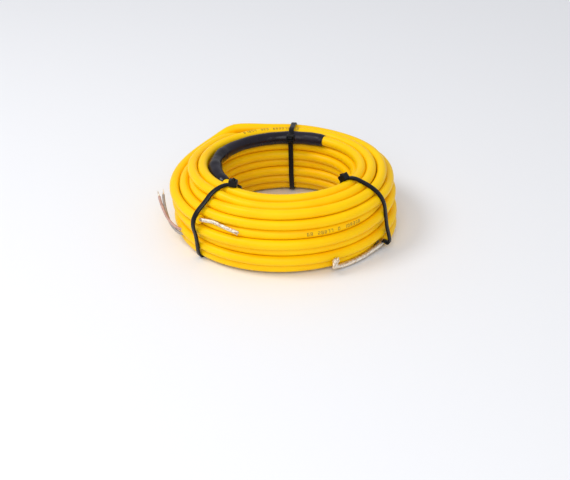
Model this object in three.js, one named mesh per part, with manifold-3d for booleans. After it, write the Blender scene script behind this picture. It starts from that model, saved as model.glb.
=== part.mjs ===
// A tied coil of yellow twin-core heating cable, lying flat on its cable ties.
// Millimetres, +Z up. -Y is the front, where the stripped ends lie.
import * as THREE from 'three';
import { mergeVertices } from 'three/addons/utils/BufferGeometryUtils.js';
import Module from 'manifold-3d';

// The cable and the outer shape of its coil: a ring that is a little oval, with a domed top.
const cableDiameter = 6.5;
const coilOuterRadius = 67;
const coilInnerRadius = 40.5;
const coilHeight = 43.3;
const ovalSqueeze = 4.2; // how much nearer to the axis the ring lies at the front and back than at the sides
const outerTopRound = 17;
const innerTopRound = 9.5;
const outerBottomRound = 11.5;
const innerBottomRound = 6;
const coilSegments = 48;
const crownAngle = 19; // on each turn's round, from straight outwards
const flankAngle = 56;

// Cable ties: each strap goes once round the ring's section.
const strapWidth = 3.6;
const strapThickness = 1.1;
const headWidth = 6;
const headLength = 6.4;
const headHeight = 4.6;
const headEdgeRound = 0.7;
const headSeatAngle = 132; // on the section, 90 is straight up and 180 points into the eye
const backTieAngle = 83; // around the coil, 0 is to the right and 90 to the back
const leftTieAngle = 224;
const rightTieAngle = 330;

// Heat-shrink sleeve over the joint of lead and heating cable, on the ring's top inner edge.
const sleeveDiameter = 7.8;
const sleeveStartAngle = 50;
const sleeveEndAngle = 213;
const sleeveSeatAngle = 145;
const sleeveProud = 0.5; // how far its centre line stands outside the ring's rounding

// Stripped ends of the cable, all on the outside of the ring.
const coreDiameter = 1.7;
const coreStartAngle = 195;
const coreEndAngle = 173;
const coreStartHeight = 12;
const coreEndHeight = 21;
const coreSpread = 3.2; // how far the two tips stand from each other
const coreLift = 6.5; // how far the tips spring away from the ring
const strandDiameter = 2.2;
const strandStartAngle = 227;
const strandEndAngle = 245;
const strandSeatAngle = 14;
const braidDiameter = 3;
const braidStartAngle = 296;
const braidEndAngle = 325;
const braidSeatAngle = -52;

const clearance = 0.3;
const outlineSteps = 40; // directions in a strap's outline
const tubeSides = 10;
const wireSides = 8;
const sleevePoints = 16;
const sleeveSteps = 30;
const corePoints = 6;
const barePoints = 8;
const wireSteps = 8;
const outlineSamples = 900;
const seatStep = 0.02;

const degrees = Math.PI / 180;
const cableRadius = cableDiameter / 2;
const sleeveRadius = sleeveDiameter / 2;
const coilBottom = strapThickness + clearance;
const coilTop = coilBottom + coilHeight;

const wasm = await Module();
wasm.setup();

function toSolid(geometry) {
  const bare = geometry.clone();
  bare.deleteAttribute('normal');
  bare.deleteAttribute('uv');
  const merged = mergeVertices(bare, 1e-4);
  return new wasm.Manifold(new wasm.Mesh({
    numProp: 3,
    vertProperties: new Float32Array(merged.attributes.position.array),
    triVerts: new Uint32Array(merged.index.array),
  }));
}

function toGeometry(solid) {
  const mesh = solid.getMesh();
  const geometry = new THREE.BufferGeometry();
  geometry.setAttribute('position', new THREE.BufferAttribute(mesh.vertProperties, 3));
  geometry.setIndex(new THREE.BufferAttribute(mesh.triVerts, 1));
  geometry.computeVertexNormals();
  return geometry;
}

// The four rounded corners of the ring's section: centre in (radius, height), rounding, first angle.
const corners = {
  outerBottom: {
    radius: coilOuterRadius - outerBottomRound, height: coilBottom + outerBottomRound,
    round: outerBottomRound, from: -90,
  },
  outerTop: {
    radius: coilOuterRadius - outerTopRound, height: coilTop - outerTopRound,
    round: outerTopRound, from: 0,
  },
  innerTop: {
    radius: coilInnerRadius + innerTopRound, height: coilTop - innerTopRound,
    round: innerTopRound, from: 90,
  },
  innerBottom: {
    radius: coilInnerRadius + innerBottomRound, height: coilBottom + innerBottomRound,
    round: innerBottomRound, from: 180,
  },
};

// A point at some distance from a corner's centre, at an angle on the section.
function onCorner(corner, angle, distance) {
  return new THREE.Vector2(
    corner.radius + distance * Math.cos(angle * degrees),
    corner.height + distance * Math.sin(angle * degrees),
  );
}

// The section's outline, drawn through the middles of the outermost turns.
function turnCentrePath() {
  const path = new THREE.Path();
  for (const corner of Object.values(corners)) {
    const from = corner.from * degrees;
    path.absarc(corner.radius, corner.height, corner.round - cableRadius, from, from + Math.PI / 2);
  }
  path.closePath();
  return path;
}

// Turns lie side by side along the outline, and each shows as a round ridge on the ring.
function ringProfile() {
  const path = turnCentrePath();
  const turns = Math.round(path.getLength() / cableDiameter);
  const points = [];
  for (let turn = 0; turn < turns; turn += 1) {
    const share = turn / turns;
    const centre = path.getPointAt(share);
    const tangent = path.getTangentAt(share);
    const outward = Math.atan2(-tangent.x, tangent.y);
    for (const side of [-flankAngle, -crownAngle, crownAngle, flankAngle]) {
      const angle = outward + side * degrees;
      // The crown is a small flat that touches the turn's round, so it keeps the ring's full size.
      const distance = Math.abs(side) === crownAngle ? cableRadius / Math.cos(crownAngle * degrees) : cableRadius;
      points.push(new THREE.Vector2(
        centre.x + distance * Math.cos(angle),
        centre.y + distance * Math.sin(angle),
      ));
    }
  }
  points.push(points[0].clone());
  return points;
}

// How much nearer to the axis the oval ring lies at an angle around it. Its section is the same all round.
function squeezeAt(angle) {
  return ovalSqueeze * Math.sin(angle * degrees) ** 2;
}

// A place on the oval ring: angle around it, distance from its axis before it is made oval, height.
function onRing(angle, radius, height) {
  const squeezed = radius - squeezeAt(angle);
  return new THREE.Vector3(
    squeezed * Math.cos(angle * degrees),
    squeezed * Math.sin(angle * degrees),
    height,
  );
}

function tubeAlong(points, diameter, steps, sides = tubeSides) {
  const section = new THREE.Shape();
  for (let side = 0; side <= sides; side += 1) {
    const angle = 2 * Math.PI * side / sides;
    const x = diameter / 2 * Math.cos(angle);
    const y = diameter / 2 * Math.sin(angle);
    if (side === 0) section.moveTo(x, y);
    else section.lineTo(x, y);
  }
  return new THREE.ExtrudeGeometry(section, { steps, extrudePath: new THREE.CatmullRomCurve3(points) });
}

// Evenly spaced places along a piece that follows the ring.
function pathAround(startAngle, endAngle, count, place) {
  const points = [];
  for (let step = 0; step < count; step += 1) {
    const share = step / (count - 1);
    points.push(place(startAngle + (endAngle - startAngle) * share, share));
  }
  return points;
}

// Where the sleeve's middle lies on the ring's section.
const sleeveSeat = onCorner(corners.innerTop, sleeveSeatAngle, innerTopRound + sleeveProud);

// The sleeve, or the channel that it lies in, which runs on past its cut ends and is wider all round.
function sleeveBody(gap) {
  const overrun = gap / sleeveSeat.x / degrees;
  const points = pathAround(
    sleeveStartAngle - overrun, sleeveEndAngle + overrun, sleevePoints,
    (angle) => onRing(angle, sleeveSeat.x, sleeveSeat.y),
  );
  return tubeAlong(points, sleeveDiameter + 2 * gap, sleeveSteps);
}

function cableCoil() {
  const ring = new THREE.LatheGeometry(ringProfile(), coilSegments);
  ring.rotateX(Math.PI / 2);
  const places = ring.attributes.position;
  for (let index = 0; index < places.count; index += 1) {
    const angle = Math.atan2(places.getY(index), places.getX(index)) / degrees;
    const radius = Math.hypot(places.getX(index), places.getY(index));
    places.setXYZ(index, ...onRing(angle, radius, places.getZ(index)));
  }
  return toGeometry(toSolid(ring).subtract(toSolid(sleeveBody(clearance))));
}

// What a strap goes round, in its own upright plane: the ring's section, and the sleeve if it is there.
function sectionUnderStrap(angle, overSleeve) {
  const squeeze = squeezeAt(angle);
  const points = ringProfile().map((point) => new THREE.Vector2(point.x - squeeze, point.y));
  if (overSleeve) {
    const middle = new THREE.Vector2(sleeveSeat.x - squeeze, sleeveSeat.y);
    for (let step = 0; step < outlineSteps; step += 1) {
      const direction = directionAt(360 * step / outlineSteps);
      points.push(middle.clone().addScaledVector(direction, sleeveRadius));
    }
  }
  return points;
}

// The point of a section that lies farthest in one direction, moved outwards by a distance.
function farthest(points, direction, distance) {
  const best = points.reduce((one, other) => (other.dot(direction) > one.dot(direction) ? other : one));
  return best.clone().addScaledVector(direction, distance);
}

function directionAt(angle) {
  return new THREE.Vector2(Math.cos(angle * degrees), Math.sin(angle * degrees));
}

// A taut band round the section, at a distance from it.
function bandOutline(points, distance) {
  const outline = [];
  for (let step = 0; step < outlineSteps; step += 1) {
    // Half a step off the upright and level directions, so the band is flat below, above and beside.
    outline.push(farthest(points, directionAt(360 * (step + 0.5) / outlineSteps), distance));
  }
  return outline;
}

// Strap and head are one moulded piece. The strap has gone through the head and is cut flush.
function cableTie(angle, overSleeve) {
  const section = sectionUnderStrap(angle, overSleeve);
  const band = new THREE.Shape(bandOutline(section, clearance + strapThickness));
  band.holes.push(new THREE.Path(bandOutline(section, clearance)));
  const strap = new THREE.ExtrudeGeometry(band, { depth: strapWidth, bevelEnabled: false });
  strap.translate(0, 0, -strapWidth / 2);

  const direction = directionAt(headSeatAngle);
  const seat = farthest(section, direction, clearance + headEdgeRound);
  const halfLength = headLength / 2 - headEdgeRound;
  const halfWidth = headWidth / 2 - headEdgeRound;
  const footprint = new THREE.Shape();
  footprint.moveTo(-halfLength, -halfWidth);
  footprint.lineTo(halfLength, -halfWidth);
  footprint.lineTo(halfLength, halfWidth);
  footprint.lineTo(-halfLength, halfWidth);
  footprint.closePath();
  const head = new THREE.ExtrudeGeometry(footprint, {
    depth: headHeight - 2 * headEdgeRound,
    bevelThickness: headEdgeRound,
    bevelSize: headEdgeRound,
    bevelSegments: 1,
  });
  // The head's height points away from the section and its length lies along the strap.
  const away = new THREE.Vector3(direction.x, direction.y, 0);
  const along = new THREE.Vector3(-direction.y, direction.x, 0);
  const across = new THREE.Vector3().crossVectors(away, along);
  head.applyMatrix4(new THREE.Matrix4().makeBasis(along, across, away));
  head.translate(seat.x, seat.y, 0);

  const tie = toGeometry(toSolid(strap).add(toSolid(head)));
  // Out of the section's plane: its width points outwards along the angle, its height upwards.
  tie.rotateX(Math.PI / 2);
  tie.rotateZ(angle * degrees);
  return tie;
}

// The two insulated cores lie on the ring where the sheath ends, and spring away from it.
function coreWire(side) {
  const start = coilOuterRadius + clearance + coreDiameter / 2;
  const points = pathAround(coreStartAngle, coreEndAngle, corePoints, (angle, share) => onRing(
    angle,
    start + coreLift * share ** 1.6 + side * coreSpread / 2 * share,
    coreStartHeight + side * (coreDiameter + clearance) / 2
      + (coreEndHeight - coreStartHeight) * share + side * coreSpread / 3 * share,
  ));
  return tubeAlong(points, coreDiameter, wireSteps, wireSides);
}

// Where a wire lies against the ring's ridges when it is pushed inwards at an angle of a corner.
function wireSeat(corner, angle, diameter) {
  const outline = new THREE.Path(ringProfile()).getSpacedPoints(outlineSamples);
  const reach = clearance + diameter / 2;
  let distance = corner.round + reach + cableRadius;
  while (outline.every((point) => point.distanceTo(onCorner(corner, angle, distance)) > reach)) {
    distance -= seatStep;
  }
  return onCorner(corner, angle, distance + seatStep);
}

// A bare end that lies against one of the ring's outer corners.
function bareEnd(corner, seatAngle, startAngle, endAngle, diameter) {
  const seat = wireSeat(corner, seatAngle, diameter);
  const points = pathAround(startAngle, endAngle, barePoints, (angle) => onRing(angle, seat.x, seat.y));
  return tubeAlong(points, diameter, wireSteps, wireSides);
}

const yellowPvc = { color: 0xf7c600, roughness: 0.45, metalness: 0 };
const blackPolyolefin = { color: 0x2a2733, roughness: 0.5, metalness: 0 };
const blackNylon = { color: 0x141218, roughness: 0.4, metalness: 0 };
const corePvc = { color: 0xcdb2a8, roughness: 0.5, metalness: 0 };
const tinnedCopper = { color: 0xd9cdb8, roughness: 0.35, metalness: 1 };

const coil = new THREE.Group();

function addPiece(name, geometry, look) {
  const mesh = new THREE.Mesh(geometry, new THREE.MeshStandardMaterial(look));
  mesh.name = name;
  coil.add(mesh);
}

addPiece('cable_coil', cableCoil(), yellowPvc);
addPiece('joint_sleeve', sleeveBody(0), blackPolyolefin);
addPiece('tie_back', cableTie(backTieAngle, true), blackNylon);
addPiece('tie_left', cableTie(leftTieAngle, false), blackNylon);
addPiece('tie_right', cableTie(rightTieAngle, false), blackNylon);
addPiece('core_wire_1', coreWire(1), corePvc);
addPiece('core_wire_2', coreWire(-1), corePvc);
addPiece('bare_strand', bareEnd(corners.outerTop, strandSeatAngle, strandStartAngle, strandEndAngle,
  strandDiameter), tinnedCopper);
addPiece('earth_braid', bareEnd(corners.outerBottom, braidSeatAngle, braidStartAngle, braidEndAngle,
  braidDiameter), tinnedCopper);

// The origin goes under the middle of the whole part, on the surface that it lies on.
const box = new THREE.Box3().setFromObject(coil);
const middle = box.getCenter(new THREE.Vector3());
coil.position.set(-middle.x, -middle.y, -box.min.z);

export default coil;
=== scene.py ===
import bpy
import math
import numpy as np
from mathutils import Matrix, Vector


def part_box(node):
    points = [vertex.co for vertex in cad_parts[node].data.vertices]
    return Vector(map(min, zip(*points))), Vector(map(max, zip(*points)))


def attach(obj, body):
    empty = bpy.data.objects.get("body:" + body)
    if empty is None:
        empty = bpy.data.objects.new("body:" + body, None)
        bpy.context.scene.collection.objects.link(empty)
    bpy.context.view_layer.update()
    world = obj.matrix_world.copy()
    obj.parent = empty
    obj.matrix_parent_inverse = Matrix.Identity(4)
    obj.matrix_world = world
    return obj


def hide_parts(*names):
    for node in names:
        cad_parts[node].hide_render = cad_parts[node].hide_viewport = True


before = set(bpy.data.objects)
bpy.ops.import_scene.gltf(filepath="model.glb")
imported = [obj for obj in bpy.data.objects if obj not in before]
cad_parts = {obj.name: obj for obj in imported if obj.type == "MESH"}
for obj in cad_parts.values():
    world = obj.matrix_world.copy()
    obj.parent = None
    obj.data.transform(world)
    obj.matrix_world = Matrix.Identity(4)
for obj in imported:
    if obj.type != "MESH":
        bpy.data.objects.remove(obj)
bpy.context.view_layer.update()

scene = bpy.context.scene
coilLow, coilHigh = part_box("cable_coil")
mm = 0.001


def clearSelection():
    if bpy.context.object and bpy.context.object.mode != "OBJECT":
        bpy.ops.object.mode_set(mode="OBJECT")
    bpy.ops.object.select_all(action="DESELECT")


clearSelection()

# Camera: in front of the coil, looking down at it by about 31 degrees, with a slight roll
camera = {
    "place": (0.0044, -0.6103, 0.3614),
    "tiltDegrees": 58.5,
    "rollDegrees": -0.89,
    "lens": 72.8,
}
cameraData = bpy.data.cameras.new("camera")
cameraData.lens = camera["lens"]
cameraData.sensor_width = 36
cameraData.sensor_fit = "HORIZONTAL"
cameraObject = bpy.data.objects.new("camera", cameraData)
scene.collection.objects.link(cameraObject)
cameraObject.matrix_world = (
    Matrix.Translation(camera["place"])
    @ Matrix.Rotation(math.radians(camera["tiltDegrees"]), 4, "X")
    @ Matrix.Rotation(math.radians(camera["rollDegrees"]), 4, "Z")
)
scene.camera = cameraObject
print("camera is set")


# Small helpers for tubes that follow a line of points
def smoothStep(t):
    t = np.clip(t, 0, 1)
    return t * t * (3 - 2 * t)


def spread(points, count):
    # the same line with count points at equal steps along a smooth curve
    points = np.asarray(points, float)
    padded = np.vstack([2 * points[0] - points[1], points, 2 * points[-1] - points[-2]])
    fine = []
    for i in range(len(points) - 1):
        a, b, c, d = padded[i:i + 4]
        for t in np.linspace(0, 1, 24, endpoint=False):
            fine.append(
                0.5 * (2 * b + (c - a) * t + (2 * a - 5 * b + 4 * c - d) * t * t
                       + (3 * b - a - 3 * c + d) * t ** 3)
            )
    fine = np.array(fine + [points[-1]])
    run = np.concatenate([[0], np.cumsum(np.linalg.norm(np.diff(fine, axis=0), axis=1))])
    wanted = np.linspace(0, run[-1], count)
    return np.column_stack([np.interp(wanted, run, fine[:, k]) for k in range(3)])


def framesAlong(points):
    # direction, side and up at each point, with no twist between one point and the next
    ways = np.gradient(points, axis=0)
    ways /= np.linalg.norm(ways, axis=1)[:, None]
    side = np.cross(ways[0], (0, 0, 1.0))
    if np.linalg.norm(side) < 0.1:
        side = np.cross(ways[0], (0, 1.0, 0))
    sides = []
    for way in ways:
        side = side - way * np.dot(side, way)
        side /= np.linalg.norm(side)
        sides.append(side)
    sides = np.array(sides)
    return ways, sides, np.cross(sides, ways)


def meshPiece(name, corners, faces, material, spots=None, smooth=True):
    mesh = bpy.data.meshes.new(name)
    mesh.from_pydata([tuple(p) for p in corners], [], faces)
    if spots is not None:
        layer = mesh.uv_layers.new(name="UVMap")
        layer.data.foreach_set("uv", np.asarray(spots, "f").ravel())
    mesh.materials.append(material)
    mesh.polygons.foreach_set("use_smooth", [smooth] * len(mesh.polygons))
    mesh.update()
    piece = bpy.data.objects.new(name, mesh)
    scene.collection.objects.link(piece)
    return piece


def tube(points, radii, sides, capRound=0.3):
    # a closed tube: corners, faces and, for each face corner, (round, along) in metres
    points = np.asarray(points, float)
    radii = np.broadcast_to(np.asarray(radii, float), (len(points),)).copy()
    ways, across, up = framesAlong(points)
    run = np.concatenate([[0], np.cumsum(np.linalg.norm(np.diff(points, axis=0), axis=1))])
    start, end = radii[0] * capRound, radii[-1] * capRound
    rings = [(points[0], radii[0] - start, 0, 0)]
    rings += [(points[0] + ways[0] * start * 0.3, radii[0] - start * 0.3, 0, 0)]
    rings += [(points[0] + ways[0] * start, radii[0], 0, 0)]
    rings += [(points[i], radii[i], i, run[i]) for i in range(1, len(points) - 1)]
    last = len(points) - 1
    rings += [(points[-1] - ways[-1] * end, radii[-1], last, run[-1])]
    rings += [(points[-1] - ways[-1] * end * 0.3, radii[-1] - end * 0.3, last, run[-1])]
    rings += [(points[-1], radii[-1] - end, last, run[-1])]
    turn = np.linspace(0, 2 * math.pi, sides, endpoint=False)
    corners = []
    for place, radius, i, _ in rings:
        ring = place + radius * (
            np.outer(np.cos(turn), across[i]) + np.outer(np.sin(turn), up[i])
        )
        corners.extend(ring)
    faces, spots = [], []
    for i in range(len(rings) - 1):
        for k in range(sides):
            n = (k + 1) % sides
            faces.append((i * sides + k, (i + 1) * sides + k, (i + 1) * sides + n, i * sides + n))
            a, b = k / sides, (k + 1) / sides
            here, there = rings[i][3], rings[i + 1][3]
            spots += [(a, here), (a, there), (b, there), (b, here)]
    faces.append(tuple(range(sides)))
    spots += [(0.5, 0.0)] * sides
    faces.append(tuple(len(corners) - 1 - k for k in range(sides)))
    spots += [(0.5, float(run[-1]))] * sides
    return corners, faces, spots


def join(parts):
    corners, faces, spots = [], [], []
    for more, moreFaces, moreSpots in parts:
        base = len(corners)
        corners.extend(more)
        faces.extend(tuple(base + i for i in face) for face in moreFaces)
        spots.extend(moreSpots)
    return corners, faces, spots


# Materials: every colour is a hex value as seen on a screen, turned to linear here
def linear(hexColour):
    channels = [int(hexColour[i:i + 2], 16) / 255 for i in (1, 3, 5)]
    return tuple(
        c / 12.92 if c <= 0.04045 else ((c + 0.055) / 1.055) ** 2.4 for c in channels
    ) + (1.0,)


def addNode(material, kind, settings=None, inputs=None):
    tree = material.node_tree
    node = tree.nodes.new(kind)
    for key, value in (settings or {}).items():
        setattr(node, key, value)
    for key, value in (inputs or {}).items():
        if isinstance(value, bpy.types.NodeSocket):
            tree.links.new(value, node.inputs[key])
        else:
            node.inputs[key].default_value = value
    return node


def newMaterial(name, roughness, inputs=None):
    material = bpy.data.materials.new(name)
    material.use_nodes = True
    shader = material.node_tree.nodes["Principled BSDF"]
    shader.inputs["Roughness"].default_value = roughness
    for key, value in (inputs or {}).items():
        shader.inputs[key].default_value = value
    return material, shader


def setRamp(node, stops):
    ramp = node.color_ramp
    while len(ramp.elements) < len(stops):
        ramp.elements.new(0.5)
    for element, (place, colour) in zip(ramp.elements, stops):
        element.position = place
        element.color = colour


def connect(material, fromSocket, toSocket):
    material.node_tree.links.new(fromSocket, toSocket)


def sheathMaterial():
    # extruded PVC: an even deep yellow with a soft satin gloss, faint drag lines along the
    # cable from the die and slow cloudiness in the gloss from handling
    material, shader = newMaterial("extruded PVC yellow", 0.4, {
        "IOR": 1.53, "Specular IOR Level": 0.14})
    place = addNode(material, "ShaderNodeTexCoord")
    cloud = addNode(material, "ShaderNodeTexNoise", {"noise_dimensions": "3D"}, {
        "Vector": place.outputs["Object"], "Scale": 60.0, "Detail": 3.0, "Roughness": 0.6})
    tint = addNode(material, "ShaderNodeValToRGB", None, {"Fac": cloud.outputs["Fac"]})
    setRamp(tint, [(0.3, linear("#FFC600")), (0.7, linear("#FFD000"))])
    connect(material, tint.outputs["Color"], shader.inputs["Base Color"])
    # drag lines: long along the cable, 0.3 mm apart around it
    stretched = addNode(material, "ShaderNodeMapping", None, {
        "Vector": place.outputs["UV"], "Scale": (66.0, 18.0, 1.0)})
    lines = addNode(material, "ShaderNodeTexNoise", {"noise_dimensions": "2D"}, {
        "Vector": stretched.outputs["Vector"], "Scale": 1.0, "Detail": 2.0})
    rough = addNode(material, "ShaderNodeMapRange", None, {
        "Value": cloud.outputs["Fac"], "From Min": 0.3, "From Max": 0.7,
        "To Min": 0.33, "To Max": 0.46})
    connect(material, rough.outputs["Result"], shader.inputs["Roughness"])
    bump = addNode(material, "ShaderNodeBump", None, {
        "Height": lines.outputs["Fac"], "Strength": 0.12, "Distance": 0.00006})
    connect(material, bump.outputs["Normal"], shader.inputs["Normal"])
    return material


def inkMaterial():
    # pad-printed marking ink: thin and olive brown on the yellow, worn through in places
    material, shader = newMaterial("marking ink", 0.55)
    place = addNode(material, "ShaderNodeTexCoord")
    wear = addNode(material, "ShaderNodeTexNoise", None, {
        "Vector": place.outputs["Object"], "Scale": 900.0, "Detail": 2.0})
    tint = addNode(material, "ShaderNodeValToRGB", None, {"Fac": wear.outputs["Fac"]})
    setRamp(tint, [(0.35, linear("#8A6A10")), (0.65, linear("#C79A08"))])
    connect(material, tint.outputs["Color"], shader.inputs["Base Color"])
    return material


def heatShrinkMaterial():
    # heat-shrink polyolefin: blue-black, glossy where it stretched tight, with a fine
    # orange-peel skin from the hot air
    material, shader = newMaterial("heat-shrink polyolefin", 0.3, {
        "IOR": 1.49, "Specular IOR Level": 0.3})
    place = addNode(material, "ShaderNodeTexCoord")
    peel = addNode(material, "ShaderNodeTexNoise", None, {
        "Vector": place.outputs["Object"], "Scale": 420.0, "Detail": 3.0})
    slow = addNode(material, "ShaderNodeTexNoise", None, {
        "Vector": place.outputs["Object"], "Scale": 70.0, "Detail": 2.0})
    tint = addNode(material, "ShaderNodeValToRGB", None, {"Fac": slow.outputs["Fac"]})
    setRamp(tint, [(0.3, linear("#100C16")), (0.7, linear("#1D1726"))])
    connect(material, tint.outputs["Color"], shader.inputs["Base Color"])
    rough = addNode(material, "ShaderNodeMapRange", None, {
        "Value": slow.outputs["Fac"], "From Min": 0.35, "From Max": 0.65,
        "To Min": 0.2, "To Max": 0.38})
    connect(material, rough.outputs["Result"], shader.inputs["Roughness"])
    bump = addNode(material, "ShaderNodeBump", None, {
        "Height": peel.outputs["Fac"], "Strength": 0.25, "Distance": 0.00025})
    connect(material, bump.outputs["Normal"], shader.inputs["Normal"])
    return material


def nylonMaterial():
    # moulded nylon 6.6: near black with a satin skin and a faint grain from the mould
    material, shader = newMaterial("moulded nylon black", 0.38, {
        "IOR": 1.53, "Specular IOR Level": 0.2})
    place = addNode(material, "ShaderNodeTexCoord")
    grain = addNode(material, "ShaderNodeTexNoise", None, {
        "Vector": place.outputs["Object"], "Scale": 1400.0, "Detail": 2.0})
    tint = addNode(material, "ShaderNodeValToRGB", None, {"Fac": grain.outputs["Fac"]})
    setRamp(tint, [(0.3, linear("#060508")), (0.7, linear("#0C0A0E"))])
    connect(material, tint.outputs["Color"], shader.inputs["Base Color"])
    rough = addNode(material, "ShaderNodeMapRange", None, {
        "Value": grain.outputs["Fac"], "From Min": 0.3, "From Max": 0.7,
        "To Min": 0.32, "To Max": 0.46})
    connect(material, rough.outputs["Result"], shader.inputs["Roughness"])
    bump = addNode(material, "ShaderNodeBump", None, {
        "Height": grain.outputs["Fac"], "Strength": 0.2, "Distance": 0.00005})
    connect(material, bump.outputs["Normal"], shader.inputs["Normal"])
    return material


def coreMaterial(name, dark, light):
    # thin extruded core insulation: even and satin, slightly dusty with filler
    material, shader = newMaterial(name, 0.45, {"IOR": 1.5})
    place = addNode(material, "ShaderNodeTexCoord")
    dust = addNode(material, "ShaderNodeTexNoise", None, {
        "Vector": place.outputs["Object"], "Scale": 500.0, "Detail": 3.0})
    tint = addNode(material, "ShaderNodeValToRGB", None, {"Fac": dust.outputs["Fac"]})
    setRamp(tint, [(0.3, linear(dark)), (0.7, linear(light))])
    connect(material, tint.outputs["Color"], shader.inputs["Base Color"])
    return material


def copperMaterial():
    # tinned copper: a soft grey metal, dull with oxide and warmer where the tin is thin
    material, shader = newMaterial("tinned copper", 0.42, {"Metallic": 1.0})
    place = addNode(material, "ShaderNodeTexCoord")
    oxide = addNode(material, "ShaderNodeTexNoise", None, {
        "Vector": place.outputs["Object"], "Scale": 700.0, "Detail": 3.0})
    tint = addNode(material, "ShaderNodeValToRGB", None, {"Fac": oxide.outputs["Fac"]})
    setRamp(tint, [(0.3, linear("#CDB08A")), (0.5, linear("#EDE4D6")), (0.8, linear("#F8F5EE"))])
    connect(material, tint.outputs["Color"], shader.inputs["Base Color"])
    rough = addNode(material, "ShaderNodeMapRange", None, {
        "Value": oxide.outputs["Fac"], "From Min": 0.3, "From Max": 0.7,
        "To Min": 0.34, "To Max": 0.5})
    connect(material, rough.outputs["Result"], shader.inputs["Roughness"])
    return material


sheath = sheathMaterial()
ink = inkMaterial()
heatShrink = heatShrinkMaterial()
nylon = nylonMaterial()
coreOne = coreMaterial("core insulation pink", "#B08A80", "#C8A498")
coreTwo = coreMaterial("core insulation grey", "#8E8680", "#A8A09A")
tinnedCopper = copperMaterial()
print("materials are ready")


# Cable: one length wound turn on turn, each beside or on the ones before
cable = {
    "diameter": 6.0,
    "spacing": 5.99,         # between the middles of two turns that touch
    "firstRow": 4.4,         # height of the lowest row's middle
    "stations": 96,          # places around the ring
    "sides": 16,
    "squeeze": 4.2,          # how much the ring is narrower at the front and back
    "leftBulge": 1.9,        # and how much its outer turns stand out on the left
    "wander": 0.4,           # slow random drift of each turn
    "driftSteps": 12,        # stations from one random drift to the next
    "smoothing": 13,         # stations over which a turn passes from one place to the next
    "seed": 7,
    "startDegrees": -26,     # where the sheath is cut near the front right tie
    "sleeveStart": 360 * 22 + 50,
    "sleeveEnd": 360 * 22 + 213,
    "sleeveExtra": 0.9,      # how much thicker the sleeve is than the cable, on each side
    "lastTurn": 25,
    "endDegrees": 221,       # where the other end's sheath is cut, under the left tie
}
# how the turns are pushed apart
settling = {
    "rounds": 420,
    "firmRounds": 300,       # the turns are held less firmly to their places after these
    "firm": 0.05,
    "loose": 0.012,
    "pushes": 3,             # in each round
    "push": 0.45,            # share of an overlap that each of the two turns gives way
    "crowding": 0.35,        # how far a turn with many neighbours shares its moves out
}
ringMiddle = (0.5 * (coilLow[0] + coilHigh[0]) / mm, 0.5 * (coilLow[1] + coilHigh[1]) / mm)


# The lower turns' places (radius, height) in winding order, before they are pushed apart
slots = [
    (60.8, 4.4), (54.4, 4.4), (48.0, 4.4),
    (44.5, 10.1), (50.5, 10.1), (56.6, 10.1), (62.6, 10.0),
    (61.2, 15.7), (55.3, 15.9), (49.3, 15.9), (43.8, 16.1),
    (44.6, 22.0), (43.9, 27.9), (49.3, 27.7), (50.6, 21.8), (56.7, 21.7), (62.8, 21.3),
    (60.2, 26.6), (54.8, 27.4),
]
# the upper turns one after the other: (degrees, radius, height). They follow the photograph
# where it shows them. The last turn crosses over another at the back, which is a guess
upperTurns = [
    (19, [(20, 57.6, 31.8), (100, 57.4, 31.8), (150, 58.4, 31.4), (220, 59.6, 31.4),
          (250, 60.4, 31.4), (330, 60.4, 31.4)]),
    (20, [(10, 62.0, 31.0), (40, 62.6, 30.8), (85, 61.8, 31.0), (110, 60.6, 31.6),
          (130, 58.8, 33.0), (150, 56.8, 35.4), (172, 54.8, 37.6), (200, 53.6, 38.4),
          (270, 52.6, 38.6), (330, 51.8, 38.9)]),
    (21, [(40, 50.0, 39.8), (90, 49.8, 39.8), (150, 49.2, 40.2), (210, 48.2, 40.4),
          (270, 47.2, 40.4), (330, 46.6, 40.2)]),
    (22, [(30, 44.6, 39.4), (70, 43.4, 38.4), (110, 43.0, 38.4), (160, 41.8, 39.8),
          (200, 40.8, 41.0), (215, 41.4, 39.0), (250, 43.2, 35.2), (330, 43.6, 34.2)]),
    (23, [(30, 44.0, 33.2), (70, 44.2, 32.6), (130, 44.4, 32.6), (180, 45.6, 33.0),
          (230, 48.6, 33.2), (270, 49.4, 33.2), (330, 49.6, 33.2)]),
    (24, [(40, 51.4, 33.2), (100, 53.4, 33.0), (150, 54.4, 33.0), (200, 56.4, 34.6),
          (250, 57.8, 35.8), (330, 58.2, 35.8)]),
    (25, [(-25, 58.4, 36.0), (10, 57.8, 36.8), (50, 57.0, 36.8), (85, 58.6, 36.4),
          (108, 60.8, 35.8), (130, 62.8, 34.2), (152, 64.2, 31.4), (175, 64.8, 28.8),
          (221, 65.2, 28.4)]),
]


def keyPlaces():
    # (degrees along the cable, radius, height): a lower turn changes its place on the right
    random = np.random.default_rng(cable["seed"])
    keys = [(-26, 65.5, 4.4), (5, 66.0, 4.4)]
    for turn, (radius, height) in enumerate(slots):
        keys.append((360 * turn + 42 + random.uniform(-16, 16), radius, height))
        bulge = cable["leftBulge"] if radius > 60 else 0
        keys.append((360 * turn + 190, radius + bulge, height))
        keys.append((360 * turn + 262, radius, height))
        keys.append((360 * turn + 318 + random.uniform(-12, 12), radius, height))
    for turn, stops in upperTurns:
        keys += [(360 * turn + degrees, radius, height) for degrees, radius, height in stops]
    return sorted(keys)


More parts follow.
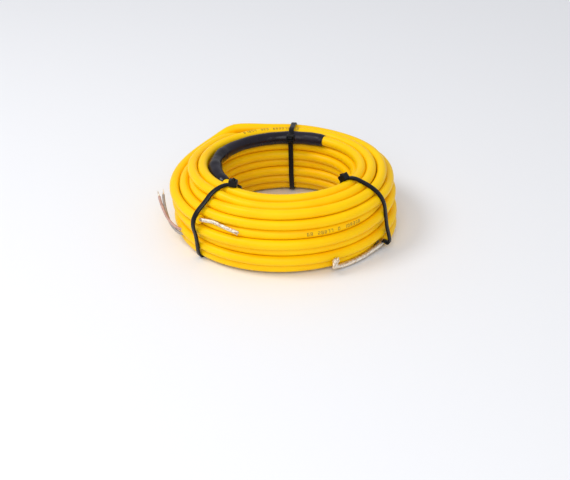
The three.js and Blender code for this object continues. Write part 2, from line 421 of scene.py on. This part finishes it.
def wound():
    # the steps along the cable, and the (radius, height) that is wanted at each of them
    keys = np.array(keyPlaces())
    stepDegrees = 360 / cable["stations"]
    firstStep = int(round(cable["startDegrees"] / stepDegrees))
    lastStep = int(round((360 * cable["lastTurn"] + cable["endDegrees"]) / stepDegrees))
    steps = np.arange(firstStep, lastStep + 1)
    degrees = steps * stepDegrees
    wanted = np.column_stack([
        np.interp(degrees, keys[:, 0], keys[:, 1]),
        np.interp(degrees, keys[:, 0], keys[:, 2]),
    ])
    kernel = np.hanning(cable["smoothing"])
    kernel /= kernel.sum()
    for column in (0, 1):
        line = np.pad(wanted[:, column], cable["smoothing"] // 2, mode="edge")
        wanted[:, column] = np.convolve(line, kernel, mode="valid")
    random = np.random.default_rng(cable["seed"] + 1)
    drift = random.normal(size=(len(steps) // cable["driftSteps"] + 3, 2))
    driftPlace = np.arange(len(steps)) / cable["driftSteps"]
    for column, share in ((0, 1.0), (1, 0.4)):
        slow = np.interp(driftPlace, np.arange(len(drift)), drift[:, column])
        wanted[:, column] += cable["wander"] * slow * share
    return steps, wanted


def relaxed(steps, wanted):
    # turns that lie in each other are pushed apart until they only touch. The grid holds
    # (turn, station) places, and is nan where the cable doesn't reach
    stations = cable["stations"]
    index = steps + stations
    rows, columns = index // stations, index % stations
    turns = rows.max() + 1
    grid = np.full((turns, stations, 2), np.nan)
    degrees = steps * 360 / stations
    extra = np.where(
        (degrees >= cable["sleeveStart"]) & (degrees <= cable["sleeveEnd"]), cable["sleeveExtra"], 0
    )
    thicker = np.zeros((turns, stations))
    thicker[rows, columns] = extra
    places = wanted.copy()
    first, second = np.triu_indices(turns, 1)
    spacing = cable["spacing"] + thicker[first] + thicker[second]
    for attempt in range(settling["rounds"]):
        hold = settling["firm"] if attempt < settling["firmRounds"] else settling["loose"]
        places += (wanted - places) * hold
        if attempt % 2 == 0:
            places[1:-1] = 0.5 * places[1:-1] + 0.25 * (places[:-2] + places[2:])
        for _ in range(settling["pushes"]):
            grid[rows, columns] = places
            gap = grid[first] - grid[second]
            apart = np.sqrt((gap ** 2).sum(axis=2))
            short = np.nan_to_num(np.where(apart < spacing, spacing - apart, 0.0))
            way = np.nan_to_num(gap / np.maximum(apart, 1e-6)[:, :, None])
            push = settling["push"] * short[:, :, None] * way
            moves = np.zeros_like(grid)
            np.add.at(moves, first, push)
            np.add.at(moves, second, -push)
            count = np.zeros(grid.shape[:2])
            np.add.at(count, first, short > 0)
            np.add.at(count, second, short > 0)
            share = np.maximum(count, 1.0) ** settling["crowding"]
            places += (moves / share[:, :, None])[rows, columns]
            places[:, 1] = np.maximum(places[:, 1], cable["firstRow"] - 0.05)
    grid[rows, columns] = places
    gap = np.linalg.norm(grid[first] - grid[second], axis=2)
    worst = float(np.nanmax(spacing - gap))
    print("cable turns settled, deepest overlap", round(worst, 2), "mm")
    return places, grid, 0.5 * cable["diameter"] + thicker


def onRing(degrees, radius, height):
    # a point in metres; the ring is a little narrower at the front and the back
    turn = np.radians(degrees)
    narrowed = radius - cable["squeeze"] * np.sin(turn) ** 2
    return np.stack([
        (ringMiddle[0] + narrowed * np.cos(turn)) * mm,
        (ringMiddle[1] + narrowed * np.sin(turn)) * mm,
        np.broadcast_to(height, np.shape(narrowed)) * mm,
    ], axis=-1)


steps, wanted = wound()
places, grid, reach = relaxed(steps, wanted)
cableDegrees = steps * 360 / cable["stations"]
cableLine = onRing(cableDegrees, places[:, 0], places[:, 1])
cableRadius = 0.5 * cable["diameter"] * mm
corners, faces, spots = tube(cableLine, cableRadius, cable["sides"], 0.12)
cablePiece = meshPiece("cable", corners, faces, sheath, spots)
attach(cablePiece, "root")
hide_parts("cable_coil")


def turnsAt(degrees):
    # the (radius, height) of every turn at this place around the ring, and how thick each is
    station = int(round(degrees * cable["stations"] / 360)) % cable["stations"]
    here = ~np.isnan(grid[:, station, 0])
    return grid[here, station], reach[here, station]


def seatOutside(degrees, height, wireRadius):
    # the smallest radius at which a wire of this size lies against the outside of the turns
    turns, thick = turnsAt(degrees)
    reachOut = thick + wireRadius + 0.05
    drop = np.abs(turns[:, 1] - height)
    near = drop < reachOut
    return float((turns[near, 0] + np.sqrt(reachOut[near] ** 2 - drop[near] ** 2)).max())


# Sleeve: the heat-shrink over the joint between the heating length and its cold lead
sleeve = {
    "radius": 3.9,
    "endRadius": 3.5,        # gripping the cable at both ends
    "endLength": 3.0,
    "sides": 28,
    # (place along it, height, width) of each swelling or dip
    "lumps": [(0.08, 0.16, 0.028), (0.2, 0.34, 0.035), (0.31, 0.1, 0.02), (0.5, -0.2, 0.05),
              (0.66, 0.34, 0.03), (0.74, -0.18, 0.02), (0.82, 0.4, 0.028), (0.93, -0.14, 0.02)],
}
inSleeve = (cableDegrees >= cable["sleeveStart"]) & (cableDegrees <= cable["sleeveEnd"])
sleeveLine = spread(cableLine[inSleeve], 240)
along = np.linspace(0, 1, len(sleeveLine))
sleeveLength = np.linalg.norm(np.diff(sleeveLine, axis=0), axis=1).sum() / mm
fromEnd = np.minimum(along, 1 - along) * sleeveLength
grip = smoothStep(fromEnd / sleeve["endLength"])
sleeveRadii = sleeve["endRadius"] + (sleeve["radius"] - sleeve["endRadius"]) * grip
for centre, height, width in sleeve["lumps"]:
    sleeveRadii += height * np.exp(-((along - centre) / width) ** 2) * grip
corners, faces, spots = tube(sleeveLine, sleeveRadii * mm, sleeve["sides"], 0.06)
sleevePiece = meshPiece("joint_sleeve_skin", corners, faces, heatShrink, spots)
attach(sleevePiece, "root")
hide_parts("joint_sleeve")
print("sleeve is on,", round(sleeveLength), "mm long")


# Ties: a band pulled round all the turns, with a moulded head and the tail cut off in it
tie = {
    "width": 3.0,
    "thickness": 1.1,
    "edge": 0.22,            # bevel of the band's edges
    "steps": 120,
    "smoothings": 26,        # how much the stiff band rounds off the turns' bumps
    "liftReach": 5,          # steps over which it's lifted off a turn it would cut into
    "headSize": (4.8, 4.9, 3.9),   # across the band, along it, and out from it
    "headEdge": 0.55,
    "slot": (3.5, 1.8),
    "stub": 0.3,             # how far the tail stands out
    "stubEdge": 0.15,
    "stubSlant": 0.28,       # radians
}
# lean: how far round the ring the band stands off its place, in degrees, at each direction
# of its section from below the outside, over the top, to the inner wall
leftLean = [(-180, -2), (-120, -6.4), (-60, -7.2), (0, -3.2), (45, -3.2), (75, -2.2),
            (90, 1.2), (105, 4.8), (150, 3), (180, -2)]
rightLean = [(-180, -1), (-120, -1.4), (-60, 2.2), (0, 3.2), (45, 1.6), (80, -0.6), (105, -2.8),
             (128, -4.4), (150, -3), (180, -1)]
straight = [(-180, 0), (180, 0)]
ties = [
    {"node": "tie_back", "degrees": 83, "lean": straight, "headTurn": 158},
    {"node": "tie_left", "degrees": 223.3, "lean": leftLean, "headTurn": 102},
    {"node": "tie_right", "degrees": 329, "lean": rightLean, "headTurn": 128},
]


def bandPlace(degrees, lean, turn):
    # where the band's inner face touches the turns in one direction around the section
    wrapped = (turn + 180) % 360 - 180
    leanTurns, leans = zip(*lean)
    at = degrees + float(np.interp(wrapped, leanTurns, leans))
    way = np.array([math.cos(math.radians(turn)), math.sin(math.radians(turn))])
    turns, thick = turnsAt(at)
    best = int(np.argmax(turns @ way + thick))
    radius, height = turns[best] + way * (thick[best] + 0.02)
    return at, radius, height


def bandLine(degrees, lean):
    turns = np.linspace(0, 360, 2 * tie["steps"], endpoint=False)
    stops = [bandPlace(degrees, lean, turn) for turn in turns]
    line = np.array([onRing(*stop) for stop in stops])
    closed = np.vstack([line, line[:1]])
    run = np.concatenate([[0], np.cumsum(np.linalg.norm(np.diff(closed, axis=0), axis=1))])
    wanted = np.linspace(0, run[-1], tie["steps"], endpoint=False)
    even = np.column_stack([np.interp(wanted, run, closed[:, k]) for k in range(3)])
    # the stiff band bows a little between the turns that it touches
    tight = even.copy()
    for _ in range(tie["smoothings"]):
        even = 0.5 * even + 0.25 * (np.roll(even, 1, axis=0) + np.roll(even, -1, axis=0))
    outwards = even - even.mean(axis=0)
    outwards /= np.linalg.norm(outwards, axis=1)[:, None]
    sunk = ((tight - even) * outwards).sum(axis=1)
    shifts = range(-tie["liftReach"], tie["liftReach"] + 1)
    lift = np.max([np.roll(sunk, shift) for shift in shifts], axis=0).clip(0)
    for _ in range(8):
        lift = 0.5 * lift + 0.25 * (np.roll(lift, 1) + np.roll(lift, -1))
    even = even + outwards * lift[:, None]
    even[:, 2] = np.maximum(even[:, 2], tight[:, 2].min())
    angles = np.interp(wanted, run, np.append([stop[0] for stop in stops], stops[0][0]))
    return even, angles


def makeBand(name, degrees, lean):
    line, angles = bandLine(degrees, lean)
    clearSelection()
    bpy.ops.mesh.primitive_circle_add(vertices=tie["steps"], radius=0.05)
    band = bpy.context.object
    band.name = name
    angles = np.radians(angles)
    around = np.column_stack([-np.sin(angles), np.cos(angles), 0 * angles])
    half = 0.5 * tie["width"] * mm
    for vertex, place, side in zip(band.data.vertices, line, around):
        vertex.co = Vector(place - side * half)
    bpy.ops.object.mode_set(mode="EDIT")
    bpy.ops.mesh.select_all(action="SELECT")
    bpy.ops.mesh.extrude_edges_move(TRANSFORM_OT_translate={"value": (0, 0, 0)})
    bpy.ops.object.mode_set(mode="OBJECT")
    starts = line - around * half
    for vertex in list(band.data.vertices)[tie["steps"]:]:
        nearest = int(np.argmin(np.linalg.norm(starts - np.array(vertex.co), axis=1)))
        vertex.co = Vector(line[nearest] + around[nearest] * half)
    middle = line.mean(axis=0)
    face = band.data.polygons[0]
    inwards = (face.center - Vector(middle)).dot(face.normal) < 0
    wall = band.modifiers.new("wall", "SOLIDIFY")
    wall.thickness = tie["thickness"] * mm
    wall.offset = -1 if inwards else 1
    edges = band.modifiers.new("edges", "BEVEL")
    edges.width = tie["edge"] * mm
    edges.segments = 2
    edges.limit_method = "ANGLE"
    edges.angle_limit = math.radians(60)
    for modifier in ("wall", "edges"):
        bpy.ops.object.modifier_apply(modifier=modifier)
    bpy.ops.object.mode_set(mode="EDIT")
    bpy.ops.mesh.select_all(action="SELECT")
    bpy.ops.mesh.normals_make_consistent(inside=False)
    bpy.ops.object.mode_set(mode="OBJECT")
    bpy.ops.object.shade_smooth_by_angle(angle=math.radians(40))
    return band


def selectFaces(piece, wantedFace):
    bpy.ops.object.mode_set(mode="OBJECT")
    for item in list(piece.data.vertices) + list(piece.data.edges):
        item.select = False
    for face in piece.data.polygons:
        face.select = bool(wantedFace(face))
    bpy.ops.object.mode_set(mode="EDIT")
    bpy.ops.mesh.select_mode(type="FACE")


def makeHead(name, degrees, lean, headTurn):
    # modelled lying at the origin: x across the band, y along it, z out from it
    width, length, height = (value * mm for value in tie["headSize"])
    slotWidth, slotLength = (value * mm for value in tie["slot"])
    clearSelection()
    bpy.ops.mesh.primitive_cube_add(size=1)
    head = bpy.context.object
    head.name = name
    head.data.transform(Matrix.Diagonal((width, length, height, 1)))
    head.data.transform(Matrix.Translation((0, 0, 0.5 * height)))
    bpy.ops.object.mode_set(mode="EDIT")
    for place, normal in (
        ((0.5 * slotWidth, 0, 0), (1, 0, 0)), ((-0.5 * slotWidth, 0, 0), (1, 0, 0)),
        ((0, 0.5 * slotLength, 0), (0, 1, 0)), ((0, -0.5 * slotLength, 0), (0, 1, 0)),
    ):
        bpy.ops.mesh.select_all(action="SELECT")
        bpy.ops.mesh.bisect(plane_co=place, plane_no=normal)

    def slotFace(face):
        middle = face.center
        return (face.normal.z > 0.9 and abs(middle.x) < 0.4 * slotWidth
                and abs(middle.y) < 0.4 * slotLength and middle.z > 0.9 * height)

    selectFaces(head, slotFace)
    bpy.ops.mesh.extrude_region_move(TRANSFORM_OT_translate={"value": (0, 0, -0.55 * height)})
    # the side away from the strap is drawn in a little, as moulded heads are
    selectFaces(head, lambda face: face.normal.y < -0.9 and face.center.y < -0.4 * length)
    bpy.ops.transform.resize(value=(0.86, 1, 0.9), center_override=(0, -0.5 * length, 0))
    bpy.ops.object.mode_set(mode="OBJECT")
    edges = head.modifiers.new("edges", "BEVEL")
    edges.width = tie["headEdge"] * mm
    edges.segments = 3
    edges.limit_method = "ANGLE"
    edges.angle_limit = math.radians(50)
    bpy.ops.object.modifier_apply(modifier="edges")
    bpy.ops.object.shade_smooth_by_angle(angle=math.radians(35))
    # the tail, cut off at a slant just above the slot
    clearSelection()
    bpy.ops.mesh.primitive_cube_add(size=1)
    stub = bpy.context.object
    tall = 0.6 * height + tie["stub"] * mm
    stub.data.transform(Matrix.Diagonal((tie["width"] * mm, tie["thickness"] * mm, tall, 1)))
    stub.data.transform(Matrix.Translation((0, 0.1 * mm, 0.45 * height + 0.5 * tall)))
    selectFaces(stub, lambda face: face.normal.z > 0.9)
    bpy.ops.transform.rotate(
        value=tie["stubSlant"], orient_axis="Y", center_override=(0, 0, height))
    bpy.ops.object.mode_set(mode="OBJECT")
    edges = stub.modifiers.new("edges", "BEVEL")
    edges.width = tie["stubEdge"] * mm
    edges.segments = 2
    bpy.ops.object.modifier_apply(modifier="edges")
    bpy.ops.object.select_all(action="DESELECT")
    stub.select_set(True)
    head.select_set(True)
    bpy.context.view_layer.objects.active = head
    bpy.ops.object.join()
    # put in place on the band
    at, radius, rise = bandPlace(degrees, lean, headTurn)
    here = Vector(onRing(at, radius, rise))
    ahead = Vector(onRing(*bandPlace(degrees, lean, headTurn - 14)))
    behind = Vector(onRing(*bandPlace(degrees, lean, headTurn + 14)))
    lengthWay = (ahead - behind).normalized()
    across = Vector((-math.sin(math.radians(at)), math.cos(math.radians(at)), 0))
    outWay = across.cross(lengthWay).normalized()
    facing = math.radians(headTurn)
    outwards = Vector(onRing(at, radius + math.cos(facing), rise + math.sin(facing))) - here
    if outWay.dot(outwards) < 0:
        outWay = -outWay
    across = lengthWay.cross(outWay).normalized()
    turned = Matrix((across, lengthWay, outWay)).transposed().to_4x4()
    head.data.transform(Matrix.Translation(here + outWay * 0.15 * mm) @ turned)
    return head


for one in ties:
    band = makeBand(one["node"] + "_band", one["degrees"], one["lean"])
    head = makeHead(one["node"] + "_head", one["degrees"], one["lean"], one["headTurn"])
    clearSelection()
    head.select_set(True)
    band.select_set(True)
    bpy.context.view_layer.objects.active = band
    bpy.ops.object.join()
    band.name = one["node"] + "_nylon"
    band.data.materials.clear()
    band.data.materials.append(nylon)
    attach(band, "root")
    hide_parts(one["node"])
print("ties are closed")


# Stripped ends: two insulated cores, a bare strand and the earth conductor
ends = {
    "coreDiameter": 1.7,
    "conductorShare": 0.62,  # of the core's diameter
    "strandDiameter": 2.2,
    "braidDiameter": 3.0,
    "fraying": 5.0,          # length over which the wires spread out at their tips
}


def twisted(points, diameter, wires, lay, sides, spreadOut, seed):
    # wires laid round each other and a middle one, one turn in each lay length (millimetres)
    random = np.random.default_rng(seed)
    points = np.asarray(points, float)
    ways, across, up = framesAlong(points)
    run = np.concatenate([[0], np.cumsum(np.linalg.norm(np.diff(points, axis=0), axis=1))])
    ring = diameter * mm / (2 * (1 + math.sin(math.pi / wires)))
    wireRadius = ring * math.sin(math.pi / wires) * 1.04
    fraying = ends["fraying"] * mm
    parts = []
    for k in range(wires):
        phase = 2 * math.pi * (k / wires + run / (lay * mm))
        frayed = smoothStep((run - run[-1] + fraying) / fraying)
        loose = spreadOut * frayed * random.uniform(0.2, 1)
        away = (ring + loose * mm)[:, None] * (
            np.cos(phase)[:, None] * across + np.sin(phase)[:, None] * up
        )
        keep = len(points) - int(random.uniform(0, 5))
        parts.append(tube((points + away)[:keep], wireRadius, sides, 0.25))
    parts.append(tube(points, max(ring - wireRadius, 0.3 * ring) * 1.05, sides, 0.25))
    return join(parts)


def linePast(stops, wireRadius, count):
    # (degrees, radius or None to lie against the turns, height)
    line = []
    for degrees, radius, height in stops:
        if radius is None:
            radius = seatOutside(degrees, height, wireRadius)
        line.append(onRing(degrees, radius, height))
    return spread(line, count)


coreRadius = 0.5 * ends["coreDiameter"]
# where each bare end runs: (degrees, radius or None to lie against the turns, height)
coreStops = [
    [(203, 64.0, 10.8), (200, 67.6, 11.0), (196, 70.2, 12.0), (191.5, 72.2, 14.0),
     (187, 73.8, 16.6), (182.5, 75.4, 19.4), (178.5, 76.8, 22.6)],
    [(204, 64.2, 8.6), (201, 67.8, 8.8), (197, 69.8, 10.0), (192.5, 71.2, 12.2),
     (187.5, 72.2, 15.2), (182, 73.2, 18.8), (176.5, 74.2, 22.6)],
]
cores = []
for number, stops in enumerate(coreStops):
    line = linePast(stops, coreRadius, 60)
    insulation = tube(line[:-6], coreRadius * mm, 14, 0.15)
    piece = meshPiece("core_" + str(number + 1) + "_wire", *insulation[:2],
                      (coreOne, coreTwo)[number], insulation[2])
    conductorDiameter = ends["coreDiameter"] * ends["conductorShare"]
    bare = twisted(line[-9:], conductorDiameter, wires=6, lay=9, sides=6, spreadOut=0.1, seed=number)
    conductor = meshPiece("core_" + str(number + 1) + "_conductor", *bare[:2],
                          tinnedCopper, bare[2])
    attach(piece, "root")
    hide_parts("core_wire_" + str(number + 1))
    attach(conductor, "root")
    cores += [piece, conductor]

strandRadius = 0.5 * ends["strandDiameter"]
lastRadius, lastHeight = places[-1]
strandStops = [
    (219.5, lastRadius, lastHeight), (221.5, lastRadius + 0.1, lastHeight + 0.1),
    (224, lastRadius - 0.6, lastHeight + 0.3), (228, None, lastHeight + 0.4),
    (233, None, lastHeight - 0.1), (238, None, lastHeight - 0.6), (242, None, lastHeight - 1.2),
    (244.5, None, lastHeight - 1.7),
]
strandLine = linePast(strandStops, strandRadius, 90)
bare = twisted(strandLine, ends["strandDiameter"], wires=7, lay=13, sides=8, spreadOut=0.35, seed=5)
strandPiece = meshPiece("bare_strand_wires", bare[0], bare[1], tinnedCopper, bare[2])
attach(strandPiece, "root")
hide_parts("bare_strand")

braidRadius = 0.5 * ends["braidDiameter"]
firstRadius, firstHeight = places[0]
braidStops = [
    (-24, firstRadius, firstHeight), (-27, firstRadius, firstHeight - 0.2),
    (-31, firstRadius, 3.6), (-37, None, 3.0), (-43, None, 2.6), (-50, None, 2.4), (-56, None, 2.2),
    (-60, None, 2.4), (-63, None, 3.4), (-64.6, 68.6, 5.6), (-64.0, 67.6, 8.2), (-62.0, 67.4, 9.2),
]
braidLine = linePast(braidStops, braidRadius, 130)
bare = twisted(braidLine, ends["braidDiameter"], wires=7, lay=9, sides=7, spreadOut=0.9, seed=8)
braidPiece = meshPiece("earth_braid_wires", bare[0], bare[1], tinnedCopper, bare[2])
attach(braidPiece, "root")
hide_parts("earth_braid")
print("stripped ends are laid")


# Print: generic figures on the sheath, in two short stretches
marking = {
    "height": 2.1,
    "width": 1.25,
    "stroke": 0.34,
    "step": 1.85,            # from one figure to the next
    "wordGap": 1.3,          # steps between two groups
    "lift": 0.02,
    "endMargin": 12,         # kept free at the end of a stretch
    "seed": 11,
}
# bars of a figure: top, upper left, upper right, middle, lower left, lower right, bottom
barsOf = {
    "0": "1110111", "1": "0010010", "2": "1011101", "3": "1011011", "4": "0111010",
    "5": "1101011", "6": "1101111", "7": "1010010", "8": "1111111", "9": "1111011",
}


def barBoxes():
    w, h, s = marking["width"], marking["height"], marking["stroke"]
    mid = 0.5 * h
    return [
        (0, h - s, w, h), (0, mid, s, h), (w - s, mid, w, h), (0, mid - 0.5 * s, w, mid + 0.5 * s),
        (0, 0, s, mid), (w - s, 0, w, mid), (0, 0, w, s),
    ]


def printOn(name, turn, fromDegrees, toDegrees, facing, sign, groups):
    # facing: degrees around the cable from outwards, going up; sign: which way the figures run
    random = np.random.default_rng(marking["seed"] + turn)
    start, end = 360 * turn + fromDegrees, 360 * turn + toDegrees
    within = (cableDegrees >= start) & (cableDegrees <= end)
    line = cableLine[within]
    angle = np.radians(cableDegrees[within])
    run = np.concatenate([[0], np.cumsum(np.linalg.norm(np.diff(line, axis=0), axis=1))]) / mm
    outwards = np.column_stack([np.cos(angle), np.sin(angle), 0 * angle])
    upwards = np.array([0, 0, 1.0])
    corners, faces = [], []

    def spot(along, rise):
        along = min(max(along if sign > 0 else run[-1] - along, 0), run[-1])
        middle = np.array([np.interp(along, run, line[:, k]) for k in range(3)])
        out = np.array([np.interp(along, run, outwards[:, k]) for k in range(3)])
        radius = 0.5 * cable["diameter"] + marking["lift"]
        turned = math.radians(facing) + sign * (rise - 0.5 * marking["height"]) / radius
        return middle + radius * mm * (math.cos(turned) * out + math.sin(turned) * upwards)

    at = 0.5
    for letters in groups:
        for _ in range(letters):
            figure = random.choice(list("0123456789"))
            for box, shown in zip(barBoxes(), barsOf[figure]):
                if shown == "0":
                    continue
                low, bottom, high, top = box
                pieces = 3 if top - bottom > 0.6 else 1
                for n in range(pieces):
                    a = bottom + (top - bottom) * n / pieces
                    b = bottom + (top - bottom) * (n + 1) / pieces
                    base = len(corners)
                    corners += [spot(at + low, a), spot(at + high, a), spot(at + high, b),
                                spot(at + low, b)]
                    faces.append((base, base + 1, base + 2, base + 3))
            at += marking["step"]
        at += marking["step"] * marking["wordGap"]
        if at > run[-1] - marking["endMargin"]:
            break
    piece = meshPiece(name, corners, faces, ink, smooth=False)
    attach(piece, "root")
    return piece


prints = [
    printOn("print_back", 21, 57, 127, 100, -1, (5, 3, 6, 2, 5, 4, 3, 6)),
    printOn("print_front", 17, 281, 326, 10, 1, (2, 5, 1, 6, 3, 2, 4)),
]
print("print is on the sheath")


# Floor and light: a pale table, a soft key from the left, a broad fill from the front
studio = {
    "floor": "#F2F2F4",
    "air": "#F4F6FA",
    "room": 0.66,
    "key": 3.8,
    "fill": 4.2,
}
bpy.ops.object.select_all(action="DESELECT")
bpy.ops.mesh.primitive_plane_add(size=6, location=(0, 0, 0))
floor = bpy.context.object
floor.name = "floor"
painted, shader = newMaterial("painted board pale", 0.7)
shader.inputs["Base Color"].default_value = linear(studio["floor"])
floor.data.materials.append(painted)


def addLight(name, place, target, size, power):
    data = bpy.data.lights.new(name, "AREA")
    data.shape = "DISK"
    data.size = size
    data.energy = power
    lamp = bpy.data.objects.new(name, data)
    scene.collection.objects.link(lamp)
    lamp.location = place
    lamp.rotation_euler = (Vector(target) - Vector(place)).to_track_quat("-Z", "Y").to_euler()


addLight("key", (-0.6, -0.1, 0.85), (0, 0, 0.02), 0.45, studio["key"])
addLight("fill", (-0.1, -0.9, 0.75), (0, 0, 0.02), 0.9, studio["fill"])
world = bpy.data.worlds.new("room")
world.use_nodes = True
air = world.node_tree.nodes["Background"]
air.inputs["Color"].default_value = linear(studio["air"])
air.inputs["Strength"].default_value = studio["room"]
scene.world = world
scene.view_settings.view_transform = "Standard"
print("light is set")
